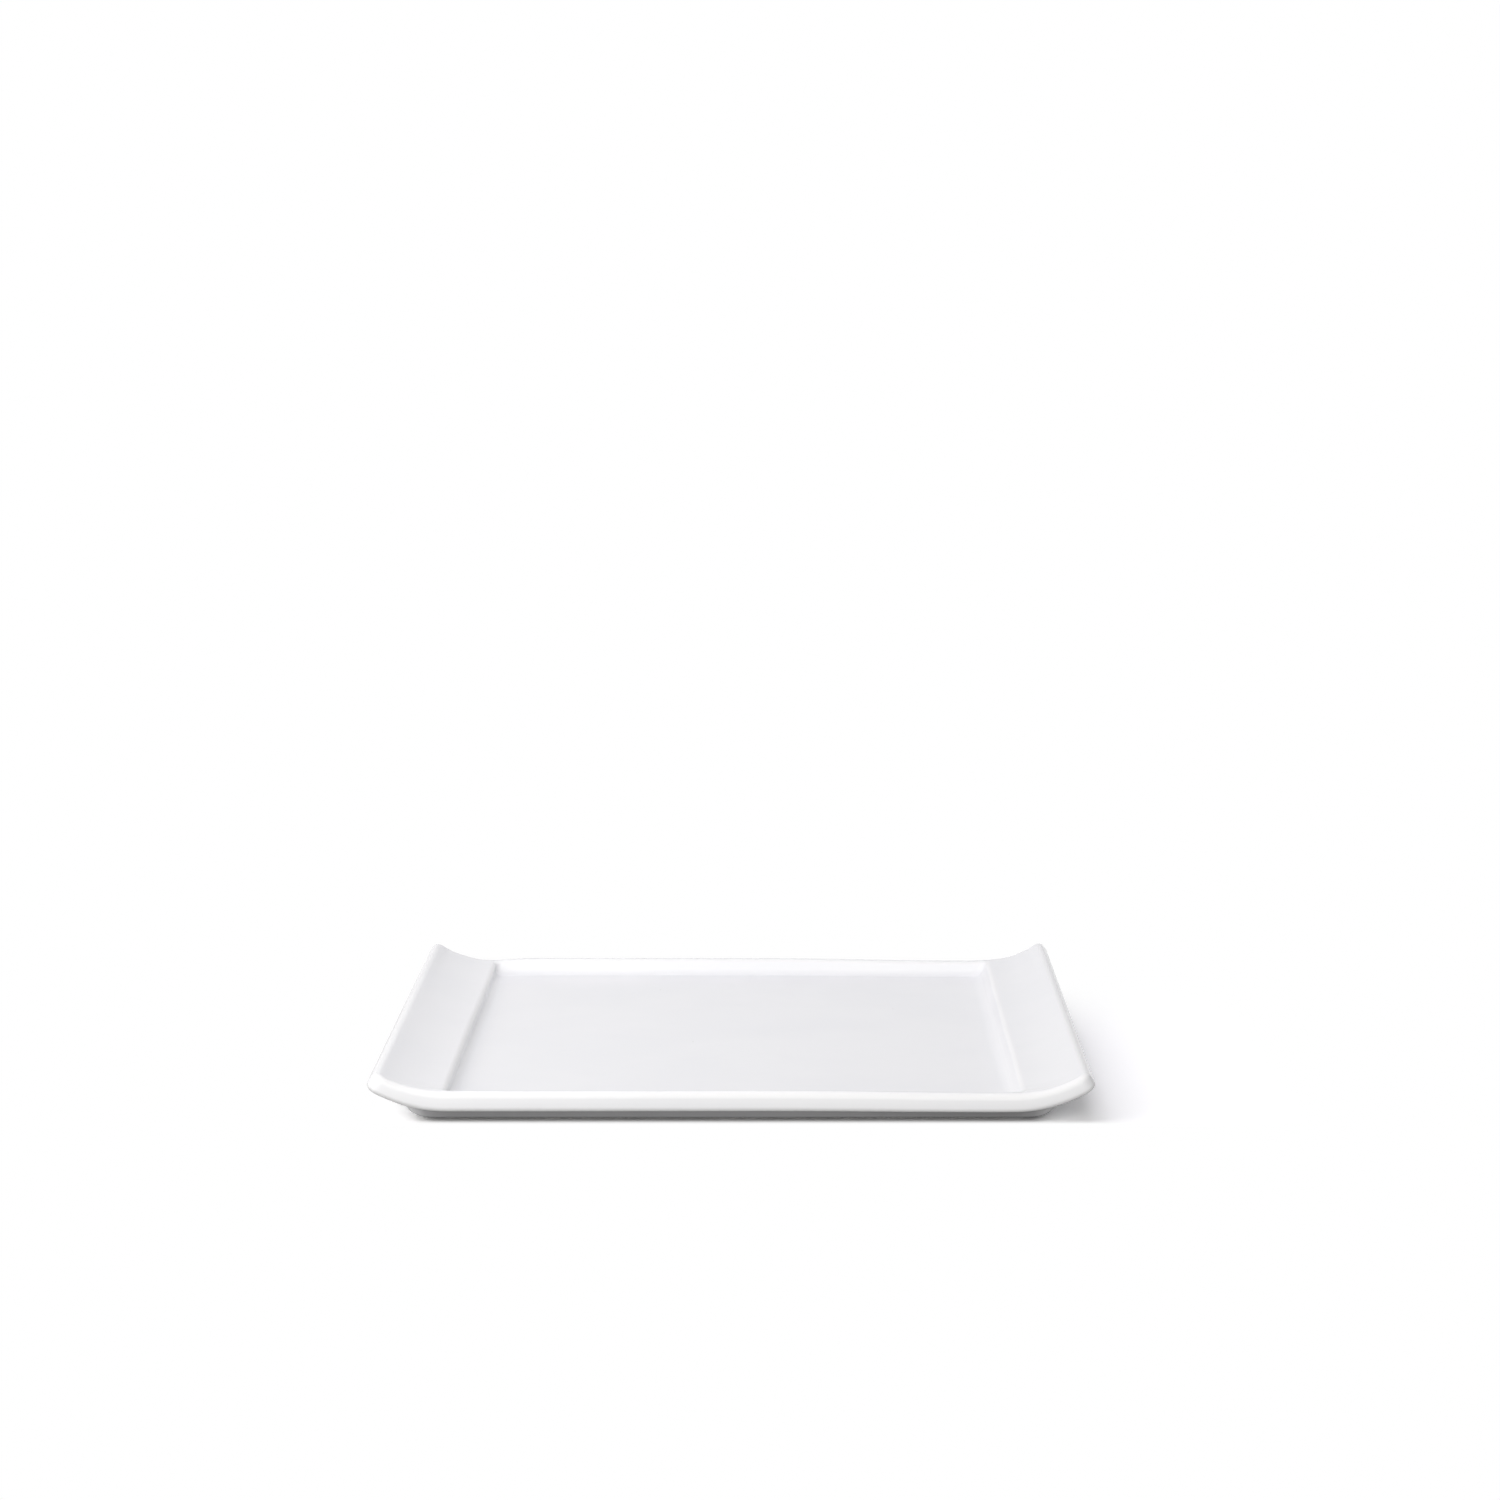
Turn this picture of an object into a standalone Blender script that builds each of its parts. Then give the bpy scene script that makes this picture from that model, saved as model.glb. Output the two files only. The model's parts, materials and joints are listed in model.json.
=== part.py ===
"""Square porcelain serving plate with two upswept ends, in metres, +Z up.

The origin is the middle of the plane that the plate rests on. +X runs across the two upswept ends and
+Y from the front lip to the back lip. The clay body is drawn flat, as a stack of rounded-square loops
from the middle of the well, over the edge and down to the middle of the underside, and its two ends are
then rolled up. The glaze is laid on the finished body, and stops short of the bare foot ring.
"""

import math
from collections import namedtuple

import bmesh
import bpy

# Overall sizes, over the glaze
PLATE_WIDTH = 0.2200
PLATE_DEPTH = 0.1980

# Glaze: its thickness and the bond line under it
GLAZE_THICKNESS = 0.0003
GLAZE_BOND = 0.00005

# Thicknesses and heights of the clay body
SHELL_THICKNESS = 0.0050
BASE_THICKNESS = 0.0038
FOOT_HEIGHT = 0.0018

# Well: sunk between the ends, with sides that round off, slope and scoop round onto the floor
WELL_WIDTH = 0.1796
WELL_DEPTH = 0.0048
WELL_WALL_RUN = 0.0066
WELL_RIM_RADIUS = 0.0012
WELL_FLOOR_RADIUS = 0.0053
WELL_CORNER = 0.0030
FLOOR_CORNER = 0.0026

# Outer edge: upper and lower roundings, the lips' narrow crest, and the corners in plan
EDGE_RADIUS = 0.0017
UNDER_RADIUS = 0.0014
LIP_CREST = 0.0002
EDGE_CORNER = 0.0034

# Upswept ends: bend radius of the upper face, and how far inside the well's edge the bend begins
WING_RADIUS = 0.0375
WING_LEAD = 0.0035

# Flank that slopes in under the lips and ends, down to the lower edge of the base
UNDER_LEDGE = 0.0010
FLANK_RADIUS = 0.0030
BASE_RADIUS = 0.0010
BASE_SETBACK = 0.0072
BASE_SPREAD = 0.0045
BASE_CORNER = 0.0035

# Foot ring, set in under the base
FOOT_INSET = 0.0060
FOOT_WIDTH = 0.0036
FOOT_ROUND = 0.0005
FOOT_FILLET = 0.0008
FOOT_CORNER = 0.0065

# Width of level ground drawn inside the last curve of the well's floor and of the underside
LEVEL_MARGIN = 0.0020

# Corners that are set in from another loop's corner stay at least this round
LEAST_CORNER = 0.0004

# Roundings take up at most this share of what a sloping side has room for
ROUNDING_SHARE = 0.95

# Finishes: colour, then roughness
PORCELAIN_FINISH = ((0.84, 0.82, 0.78), 0.75)
GLAZE_FINISH = ((0.87, 0.87, 0.88), 0.10)

# Facets: segments of each stretch of a loop and of each stretch of the profile
SIDE_STEPS = 3
CORNER_STEPS = 4
WING_STEPS = 7
UNDER_WING_STEPS = 6
MIDDLE_STEPS = 2
ARC_STEPS = 4
FOOT_ARC_STEPS = 2
BISECTIONS = 50
SHARP_ANGLE = math.radians(40)

# Sizes that follow from those above
COAT = GLAZE_THICKNESS + GLAZE_BOND
HALF_WIDTH = PLATE_WIDTH / 2 - COAT
HALF_DEPTH = PLATE_DEPTH / 2 - COAT
EDGE_HEIGHT = FOOT_HEIGHT + BASE_THICKNESS + WELL_DEPTH
WELL_HALF_X = WELL_WIDTH / 2
WELL_HALF_Y = HALF_DEPTH - EDGE_RADIUS - LIP_CREST
BEND_START = WELL_HALF_X - WING_LEAD
BASE_HALF_X = WELL_HALF_X + BASE_SPREAD
BASE_HALF_Y = HALF_DEPTH - BASE_SETBACK
FOOT_HALF_X = BASE_HALF_X - FOOT_INSET
FOOT_HALF_Y = BASE_HALF_Y - FOOT_INSET
FLANK_HALF_Y = HALF_DEPTH - UNDER_RADIUS - UNDER_LEDGE
FLANK_RUN = FLANK_HALF_Y - BASE_HALF_Y
GLAZE_LINE = (FOOT_ROUND + FOOT_HEIGHT - FOOT_FILLET) / 2

# One closed loop of the flat plate. roll is the share of the upsweep that the loop follows.
Loop = namedtuple("Loop", "half_x half_y corner height roll")


def spread(start, end, steps):
    """Values from start to end in that many equal steps."""
    return [start + (end - start) * i / steps for i in range(steps + 1)]


def blend(first, last, share):
    """A loop part of the way from one loop to another."""
    return Loop(*(a + (b - a) * share for a, b in zip(first, last)))


def between(first, last, steps):
    """The loops strictly between two loops, in that many equal steps."""
    return [blend(first, last, share) for share in spread(0, 1, steps)[1:-1]]


def level_ground(loop):
    """A loop set in from a given one at the same height."""
    return loop._replace(half_x=loop.half_x - LEVEL_MARGIN, half_y=loop.half_y - LEVEL_MARGIN)


def wall_slope(run, drop, radii):
    """Angle of the straight part of a side whose roundings, together of these radii, end level."""
    straight = math.sqrt(run ** 2 + drop ** 2 - 2 * radii * drop)
    return math.atan2(radii, straight) - math.atan2(radii - drop, run)


def rounding(radius, slope):
    """(run, drop) points of a rounding that starts level and ends at a slope."""
    return [
        (radius * math.sin(a), radius * (1 - math.cos(a)))
        for a in spread(0, slope, ARC_STEPS)
    ]


def sloping_side(run, drop, upper_radius, lower_radius):
    """(run, drop) points down a side that rounds off, slopes and rounds level again.

    On a side too short for both roundings, both are drawn tighter in the same ratio.
    """
    room = ROUNDING_SHARE * (run ** 2 + drop ** 2) / (2 * drop)
    fit = min(1, room / (upper_radius + lower_radius))
    slope = wall_slope(run, drop, (upper_radius + lower_radius) * fit)
    lower = [(run - back, drop - up) for back, up in reversed(rounding(lower_radius * fit, slope))]
    return rounding(upper_radius * fit, slope) + lower


def outer_edge():
    """(inset, drop) points round the outer edge, from its crest to its underside."""
    upper = [
        (EDGE_RADIUS - run, drop)
        for run, drop in rounding(EDGE_RADIUS, math.pi / 2)
    ]
    lower = [
        (UNDER_RADIUS - run, SHELL_THICKNESS - drop)
        for run, drop in reversed(rounding(UNDER_RADIUS, math.pi / 2))
    ]
    return upper + lower


def bare_foot():
    """(inset, height) points round the resting face of the foot ring, from outside to inside."""
    quarter = spread(0, math.pi / 2, FOOT_ARC_STEPS)
    outer = [
        (FOOT_ROUND * (1 - math.cos(a)), FOOT_ROUND * (1 - math.sin(a)))
        for a in quarter
    ]
    inner = [(FOOT_WIDTH - inset, height) for inset, height in reversed(outer)]
    return outer + inner


def foot_side():
    """(inset, height) points from the underside down the foot ring's outer side, to the glaze's lower edge."""
    fillet = [
        (-FOOT_FILLET * (1 - math.cos(a)), FOOT_HEIGHT - FOOT_FILLET * (1 - math.sin(a)))
        for a in spread(math.pi / 2, 0, FOOT_ARC_STEPS)
    ]
    return fillet + [(0, GLAZE_LINE)]


def foot_recess():
    """(inset, height) points up the foot ring's inner side and onto the underside that it encloses."""
    return [(FOOT_WIDTH - inset, height) for inset, height in reversed(foot_side())]


def rolled(x, height):
    """Where a point of the flat plate goes when the end that it lies on is rolled up."""
    past = abs(x) - BEND_START
    if past <= 0:
        return x, height
    angle = past / WING_RADIUS
    radius = WING_RADIUS + EDGE_HEIGHT - height
    across = BEND_START + radius * math.sin(angle)
    return math.copysign(across, x), EDGE_HEIGHT + WING_RADIUS - radius * math.cos(angle)


def flat_half_width():
    """Half width of the flat plate whose rolled-up ends reach the body's own half width."""
    low = BEND_START
    high = BEND_START + WING_RADIUS * math.pi / 2
    for _ in range(BISECTIONS):
        middle = (low + high) / 2
        reach = max(rolled(middle - inset, EDGE_HEIGHT - drop)[0] for inset, drop in outer_edge())
        if reach < HALF_WIDTH:
            low = middle
        else:
            high = middle
    return low


FLAT_HALF_WIDTH = flat_half_width()


def edge_loops():
    """Loops round the outer edge, from its crest to its underside."""
    return [
        Loop(
            half_x=FLAT_HALF_WIDTH - inset,
            half_y=HALF_DEPTH - inset,
            corner=max(EDGE_CORNER - inset, LEAST_CORNER),
            height=EDGE_HEIGHT - drop,
            roll=1,
        )
        for inset, drop in outer_edge()
    ]


def face_loops():
    """Loops from the middle of the well, up its sides and out over the ends and lips, short of the crest."""
    wall = [
        Loop(
            half_x=WELL_HALF_X - run,
            half_y=WELL_HALF_Y - run,
            corner=WELL_CORNER + (FLOOR_CORNER - WELL_CORNER) * run / WELL_WALL_RUN,
            height=EDGE_HEIGHT - drop,
            roll=1,
        )
        for run, drop in sloping_side(WELL_WALL_RUN, WELL_DEPTH, WELL_RIM_RADIUS, WELL_FLOOR_RADIUS)
    ]
    crest = edge_loops()[0]
    return [level_ground(wall[-1])] + wall[::-1] + between(wall[0], crest, WING_STEPS)


def flank_loops():
    """Loops under the ends and lips, and down the sloping flank to the lower edge of the base.

    The flank is as wide under the ends as under the lips, or as wide as short ends leave room for.
    """
    underside = edge_loops()[-1]
    flank_drop = underside.height - FOOT_HEIGHT
    flank_half_x = min(BASE_HALF_X + FLANK_RUN, underside.half_x - UNDER_LEDGE)
    slope = [
        Loop(
            half_x=flank_half_x + (BASE_HALF_X - flank_half_x) * run / FLANK_RUN,
            half_y=FLANK_HALF_Y - run,
            corner=BASE_CORNER + FLANK_RUN - run,
            height=underside.height - drop,
            roll=1 - run / FLANK_RUN,
        )
        for run, drop in sloping_side(FLANK_RUN, flank_drop, FLANK_RADIUS, BASE_RADIUS)
    ]
    return between(underside, slope[0], UNDER_WING_STEPS) + slope


def foot_loops(profile):
    """Loops round the foot ring that follow a profile of (inset, height) points."""
    return [
        Loop(
            half_x=FOOT_HALF_X - inset,
            half_y=FOOT_HALF_Y - inset,
            corner=max(FOOT_CORNER - inset, LEAST_CORNER),
            height=height,
            roll=0,
        )
        for inset, height in profile
    ]


def quarter_points(loop):
    """Plan points of one quarter of a loop, from the middle of its +X side to the middle of its +Y side.

    The points along the +Y side crowd together over the upswept end, which is where that side bends.
    """
    straight_x = loop.half_x - loop.corner
    straight_y = loop.half_y - loop.corner
    side = [(loop.half_x, straight_y * share) for share in spread(0, 1, SIDE_STEPS)[:-1]]
    corner = [
        (straight_x + loop.corner * math.cos(a), straight_y + loop.corner * math.sin(a))
        for a in spread(0, math.pi / 2, CORNER_STEPS)
    ]
    bend_share = BEND_START / (FLAT_HALF_WIDTH - EDGE_CORNER)
    shares = spread(1, bend_share, WING_STEPS)[1:] + spread(bend_share, 0, MIDDLE_STEPS)[1:]
    lip = [(straight_x * share, loop.half_y) for share in shares]
    return side + corner + lip


def loop_points(loop):
    """The points of a whole loop in space, anticlockwise seen from above."""
    quarter = quarter_points(loop)
    back = quarter + [(-x, y) for x, y in quarter[-2::-1]]
    plan = back + [(x, -y) for x, y in back[-2:0:-1]]
    points = []
    for x, y in plan:
        rolled_x, rolled_z = rolled(x, loop.height)
        points.append((
            x + (rolled_x - x) * loop.roll,
            y,
            loop.height + (rolled_z - loop.height) * loop.roll,
        ))
    return points


def skinned(name, loops, fill_first=False, fill_last=False):
    """A mesh of quads strung between successive loops, with the first or the last loop filled in."""
    mesh = bpy.data.meshes.new(name)
    bm = bmesh.new()
    rows = [[bm.verts.new(point) for point in loop_points(loop)] for loop in loops]
    for upper, lower in zip(rows, rows[1:]):
        for i in range(len(upper)):
            bm.faces.new((upper[i - 1], lower[i - 1], lower[i], upper[i]))
    if fill_first:
        bm.faces.new(rows[0])
    if fill_last:
        bm.faces.new(rows[-1][::-1])
    bm.to_mesh(mesh)
    bm.free()
    mesh.shade_smooth()
    mesh.set_sharp_from_angle(angle=SHARP_ANGLE)
    return mesh


def finish(name, colour, roughness):
    """A Principled material of one colour and roughness."""
    material = bpy.data.materials.new(name)
    material.use_nodes = True
    shader = material.node_tree.nodes["Principled BSDF"]
    shader.inputs["Base Color"].default_value = (*colour, 1)
    shader.inputs["Roughness"].default_value = roughness
    shader.inputs["Metallic"].default_value = 0
    return material


def piece(mesh, material, parent):
    """An object that carries a mesh and its name and material."""
    made = bpy.data.objects.new(mesh.name, mesh)
    mesh.materials.append(material)
    made.parent = parent
    bpy.context.scene.collection.objects.link(made)
    return made


def lay_glaze(coat):
    """Lifts a patch of the body's surface off by the bond line and thickens it outwards into a coat."""
    lift = coat.modifiers.new("bond line", "DISPLACE")
    lift.mid_level = 0
    lift.strength = GLAZE_BOND
    thicken = coat.modifiers.new("coat", "SOLIDIFY")
    thicken.thickness = GLAZE_THICKNESS
    thicken.offset = 1
    thicken.use_even_offset = True


def main():
    for old in list(bpy.data.objects):
        bpy.data.objects.remove(old)
    plate = bpy.data.objects.new("plate", None)
    bpy.context.scene.collection.objects.link(plate)

    face = face_loops() + edge_loops() + flank_loops() + foot_loops(foot_side())
    bare = foot_loops(bare_foot())
    base = foot_loops(foot_recess())
    base.append(level_ground(base[-1]))

    porcelain = finish("bare_porcelain", *PORCELAIN_FINISH)
    glaze = finish("white_glaze", *GLAZE_FINISH)
    piece(skinned("porcelain_body", face + bare + base, fill_first=True, fill_last=True), porcelain, plate)
    lay_glaze(piece(skinned("face_glaze", face, fill_first=True), glaze, plate))
    lay_glaze(piece(skinned("base_glaze", base, fill_last=True), glaze, plate))


main()
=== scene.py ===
"""Dresses a square porcelain plate: its fired body, its two coats of white glaze and a plain studio stage."""

import json
import math
from collections import namedtuple

import bmesh
import bpy
from mathutils import Matrix, Vector, noise


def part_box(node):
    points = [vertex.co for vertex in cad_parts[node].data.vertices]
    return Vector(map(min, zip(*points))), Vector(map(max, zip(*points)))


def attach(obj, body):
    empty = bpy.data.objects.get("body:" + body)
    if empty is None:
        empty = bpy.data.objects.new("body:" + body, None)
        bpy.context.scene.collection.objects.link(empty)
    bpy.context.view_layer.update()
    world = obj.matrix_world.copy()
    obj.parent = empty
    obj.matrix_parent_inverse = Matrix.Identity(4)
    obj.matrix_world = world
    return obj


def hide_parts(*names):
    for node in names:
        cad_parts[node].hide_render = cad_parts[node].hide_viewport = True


bl_info = {
    "name": "Square Porcelain Plate",
    "version": (1, 0, 0),
    "blender": (4, 5, 0),
    "location": "3D View > Sidebar > Plate",
    "description": "Builds the glazed surfaces, finishes and stage of a square plate with upswept ends",
    "category": "Object",
}

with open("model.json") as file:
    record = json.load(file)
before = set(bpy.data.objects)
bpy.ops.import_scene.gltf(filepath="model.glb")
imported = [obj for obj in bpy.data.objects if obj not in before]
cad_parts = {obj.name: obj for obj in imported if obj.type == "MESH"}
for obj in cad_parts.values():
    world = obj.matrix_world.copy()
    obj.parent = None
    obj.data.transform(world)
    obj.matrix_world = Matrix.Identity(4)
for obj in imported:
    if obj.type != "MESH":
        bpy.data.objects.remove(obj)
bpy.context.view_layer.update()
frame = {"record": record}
BODY = "root"

# Sizes read from the frame
FACE_LOW, FACE_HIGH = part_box("face_glaze")
CLAY_LOW, CLAY_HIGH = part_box("porcelain_body")
COAT = FACE_HIGH[0] - CLAY_HIGH[0]
GLAZE_LINE = FACE_LOW[2]
WELL_MOUNT = next(mount for mount in frame["record"]["mounts"] if mount["name"] == "well_floor")
WELL_FLOOR_HEIGHT = WELL_MOUNT["pos_m"][2] - COAT

# The outline is drawn in by this much, to stay inside the solids' box
TRIM = 0.00001

# Segments of each stretch of a loop, and of each stretch of the profile
SIDE_STEPS = 24
CORNER_STEPS = 10
WING_STEPS = 16
MIDDLE_STEPS = 20
ARC_STEPS = 8
UNDER_WING_STEPS = 12
UNDER_BASE_STEPS = 4
FOOT_ARC_STEPS = 5

# Halvings in the search for the width that the flat plate has before its ends are rolled up
BISECTIONS = 50

# Level ground inside the last curve of the well or of the underside: insets, and how far glaze pools there
POOL_RINGS = ((0.0008, 0.8), (0.0020, 0.55), (0.0040, 0.25), (0.0070, 0.0))

# No corner of a loop is rounded less than this
LEAST_CORNER = 0.0004

# Firing lets the lips sag towards the right-hand end. That sets in from START to FULL and fades out at END
SAG_FRONT = 0.0006
SAG_BACK = 0.0009
SAG_START = 0.010
SAG_FULL = 0.082
SAG_END = 0.104

# Slow waves stay in the clay
WAVE_LENGTH = 0.070
WAVE_DEPTH = 0.00025
WAVE_SLICE = 3.7

# Sag, waves and dips lower nothing up to LOW above the table, and act in full from HIGH up
LOWERED_LOW = 0.0020
LOWERED_HIGH = 0.0090

# The front lip stands a little higher than the back one. That sets in from START to FULL towards the front
# and from LOW to HIGH above the table, and fades from SIDE to END towards both ends
RISE = 0.0007
RISE_START = 0.090
RISE_FULL = 0.096
RISE_LOW = 0.0055
RISE_HIGH = 0.0100
RISE_SIDE = 0.084
RISE_END = 0.104

# Towards the back, the ends dip. That sets in from START to FULL on the way out from the well and from
# BACK_START to BACK_FULL on the way back, and fades from INNER to TIP
DIP_LEFT = 0.0012
DIP_LEFT_START = 0.076
DIP_RIGHT = 0.0008
DIP_RIGHT_START = 0.088
DIP_FULL = 0.098
DIP_INNER = 0.1030
DIP_TIP = 0.1090
DIP_BACK_START = 0.020
DIP_BACK_FULL = 0.090

# The top of the well's left side is drawn in. That sets in from START to FULL towards the left and from LOW
# to HIGH above the table
PULL = 0.0018
PULL_START = 0.020
PULL_FULL = 0.084
PULL_LOW = 0.0060
PULL_HIGH = 0.0105

# The well's edges wander a little in plan, and less and less across a margin inside the outline. With this
# seed, each side of the well stays where it is on average
DRIFT_LENGTH = 0.060
DRIFT = 0.0006
DRIFT_MARGIN = 0.016
DRIFT_SLICE = 8.2
DRIFT_SEED = 320

# One closed loop of the flat plate. roll is its share of the upsweep, and pool says how thick the glaze
# lies there, from -1, drawn thin over an edge, to 1, gathered in a hollow.
Loop = namedtuple("Loop", "half_x half_y corner height roll pool")


class PlateSizes(bpy.types.PropertyGroup):
    """Sizes of the clay body under the glaze"""

    half_width: bpy.props.FloatProperty(
        name="Half width", description="Middle to tip across the upswept ends",
        default=CLAY_HIGH[0] - TRIM, unit="LENGTH")
    half_depth: bpy.props.FloatProperty(
        name="Half depth", description="Middle to the outside of the front or back lip",
        default=CLAY_HIGH[1] - TRIM, unit="LENGTH")
    shell: bpy.props.FloatProperty(
        name="Shell", description="Thickness of the ends and lips", default=0.0050, unit="LENGTH")
    foot_height: bpy.props.FloatProperty(
        name="Foot height", description="Height of the underside above the table",
        default=0.0018, unit="LENGTH")
    well_half_width: bpy.props.FloatProperty(
        name="Well half width", description="Middle to the top of the well's side",
        default=0.0898, unit="LENGTH")
    well_depth: bpy.props.FloatProperty(
        name="Well depth", description="Drop from the lips to the well's floor",
        default=0.0048, unit="LENGTH")
    wall_run: bpy.props.FloatProperty(
        name="Wall run", description="Width of the well's sloping side in plan",
        default=0.0066, unit="LENGTH")
    wall_rim_radius: bpy.props.FloatProperty(
        name="Wall rim radius", description="Rounding at the top of the well's side",
        default=0.0020, unit="LENGTH")
    wall_floor_radius: bpy.props.FloatProperty(
        name="Wall floor radius", description="Rounding at the foot of the well's side",
        default=0.0045, unit="LENGTH")
    well_corner: bpy.props.FloatProperty(
        name="Well corner", description="Corner radius at the top of the well", default=0.0030, unit="LENGTH")
    floor_corner: bpy.props.FloatProperty(
        name="Floor corner", description="Corner radius of the well's floor", default=0.0026, unit="LENGTH")
    edge_radius: bpy.props.FloatProperty(
        name="Edge radius", description="Upper rounding of the outer edge", default=0.0017, unit="LENGTH")
    under_radius: bpy.props.FloatProperty(
        name="Under radius", description="Lower rounding of the outer edge", default=0.0014, unit="LENGTH")
    lip_crest: bpy.props.FloatProperty(
        name="Lip crest", description="Level width on top of a lip", default=0.0002, unit="LENGTH")
    edge_corner: bpy.props.FloatProperty(
        name="Edge corner", description="Corner radius of the outline", default=0.0034, unit="LENGTH")
    wing_radius: bpy.props.FloatProperty(
        name="Wing radius", description="Bend radius of the upswept ends", default=0.0375, unit="LENGTH")
    wing_lead: bpy.props.FloatProperty(
        name="Wing lead", description="How far inside the well's edge the bend begins",
        default=0.0035, unit="LENGTH")
    base_setback: bpy.props.FloatProperty(
        name="Base setback", description="Lip to the lower edge of the flank", default=0.0084, unit="LENGTH")
    base_spread: bpy.props.FloatProperty(
        name="Base spread", description="Well's side to the lower edge of the flank, under the ends",
        default=0.0045, unit="LENGTH")
    base_corner: bpy.props.FloatProperty(
        name="Base corner", description="Corner radius of the flank's lower edge",
        default=0.0035, unit="LENGTH")
    base_radius: bpy.props.FloatProperty(
        name="Base radius", description="Rounding of the flank's lower edge", default=0.0045, unit="LENGTH")
    foot_setback: bpy.props.FloatProperty(
        name="Foot setback", description="Lip to the foot ring", default=0.0132, unit="LENGTH")
    foot_spread: bpy.props.FloatProperty(
        name="Foot spread", description="Foot ring to the well's side, under the ends",
        default=0.0015, unit="LENGTH")
    foot_width: bpy.props.FloatProperty(
        name="Foot width", description="Width of the foot ring", default=0.0036, unit="LENGTH")
    foot_round: bpy.props.FloatProperty(
        name="Foot round", description="Rounding of the foot ring's edges", default=0.0005, unit="LENGTH")
    foot_fillet: bpy.props.FloatProperty(
        name="Foot fillet", description="Hollow between the foot ring and the underside",
        default=0.0008, unit="LENGTH")
    foot_corner: bpy.props.FloatProperty(
        name="Foot corner", description="Corner radius of the foot ring", default=0.0065, unit="LENGTH")
    under_ledge: bpy.props.FloatProperty(
        name="Under ledge", description="Level strip under the lips", default=0.0004, unit="LENGTH")
    flank_radius: bpy.props.FloatProperty(
        name="Flank radius", description="Hollow between the ledge and the flank",
        default=0.0006, unit="LENGTH")
    bond: bpy.props.FloatProperty(
        name="Bond line", description="Space between clay and glaze", default=0.00005, unit="LENGTH")


class PlateFinishes(bpy.types.PropertyGroup):
    """Colours of the glaze and of the bare porcelain"""

    glaze: bpy.props.FloatVectorProperty(
        name="Glaze", description="Main white of the glaze", subtype="COLOR",
        default=(0.850, 0.853, 0.870))
    glaze_warm: bpy.props.FloatVectorProperty(
        name="Glaze, warm", description="White of the slow clouds in the glaze", subtype="COLOR",
        default=(0.866, 0.867, 0.880))
    glaze_pooled: bpy.props.FloatVectorProperty(
        name="Glaze, pooled", description="Cool tint where glaze gathers in hollows", subtype="COLOR",
        default=(0.800, 0.815, 0.845))
    glaze_thin: bpy.props.FloatVectorProperty(
        name="Glaze, thin", description="Warmer tint where glaze draws thin over edges", subtype="COLOR",
        default=(0.890, 0.884, 0.872))
    speck: bpy.props.FloatVectorProperty(
        name="Speck", description="Iron specks under the glaze", subtype="COLOR",
        default=(0.420, 0.380, 0.340))
    porcelain: bpy.props.FloatVectorProperty(
        name="Porcelain", description="Bare fired clay of the foot ring", subtype="COLOR",
        default=(0.790, 0.765, 0.715))
    porcelain_dark: bpy.props.FloatVectorProperty(
        name="Porcelain, grain", description="Darker grains of the bare clay", subtype="COLOR",
        default=(0.660, 0.630, 0.580))
    scuff: bpy.props.FloatVectorProperty(
        name="Scuff", description="Grey rub marks on the resting face", subtype="COLOR",
        default=(0.480, 0.470, 0.460))


class PlateStage(bpy.types.PropertyGroup):
    """Floor, lights and camera"""

    floor: bpy.props.FloatVectorProperty(
        name="Floor", description="Floor colour as it is seen, above 1 so that it is white where it is lit",
        subtype="COLOR", default=(1.38, 1.38, 1.38))
    floor_bounce: bpy.props.FloatVectorProperty(
        name="Floor bounce", description="Floor colour that lights the plate from below", subtype="COLOR",
        default=(0.165, 0.165, 0.165))
    pale_bounce: bpy.props.FloatVectorProperty(
        name="Pale bounce", description="Floor colour that lights the ends and the back from below",
        subtype="COLOR", default=(0.80, 0.80, 0.80))
    under_glow: bpy.props.FloatVectorProperty(
        name="Under glow", description="Light on the underside, inside the foot ring", subtype="COLOR",
        default=(0.60, 0.60, 0.60))
    sky: bpy.props.FloatVectorProperty(
        name="Sky", description="Even light from all round", subtype="COLOR", default=(0.088, 0.088, 0.093))
    key_power: bpy.props.FloatProperty(
        name="Key light", description="Power of the near softbox at the front left",
        default=2.7, unit="POWER")
    front_power: bpy.props.FloatProperty(
        name="Front light", description="Power of the far softbox in front",
        default=12.1, unit="POWER")
    back_power: bpy.props.FloatProperty(
        name="Back light", description="Power of the softbox high at the back left",
        default=4.1, unit="POWER")
    key_colour: bpy.props.FloatVectorProperty(
        name="Key colour", description="Slight warmth of the key and front lights", subtype="COLOR",
        default=(1.00, 0.992, 0.978))
    back_colour: bpy.props.FloatVectorProperty(
        name="Back colour", description="Slight coolness of the back light", subtype="COLOR",
        default=(0.99, 0.978, 1.035))


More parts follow.
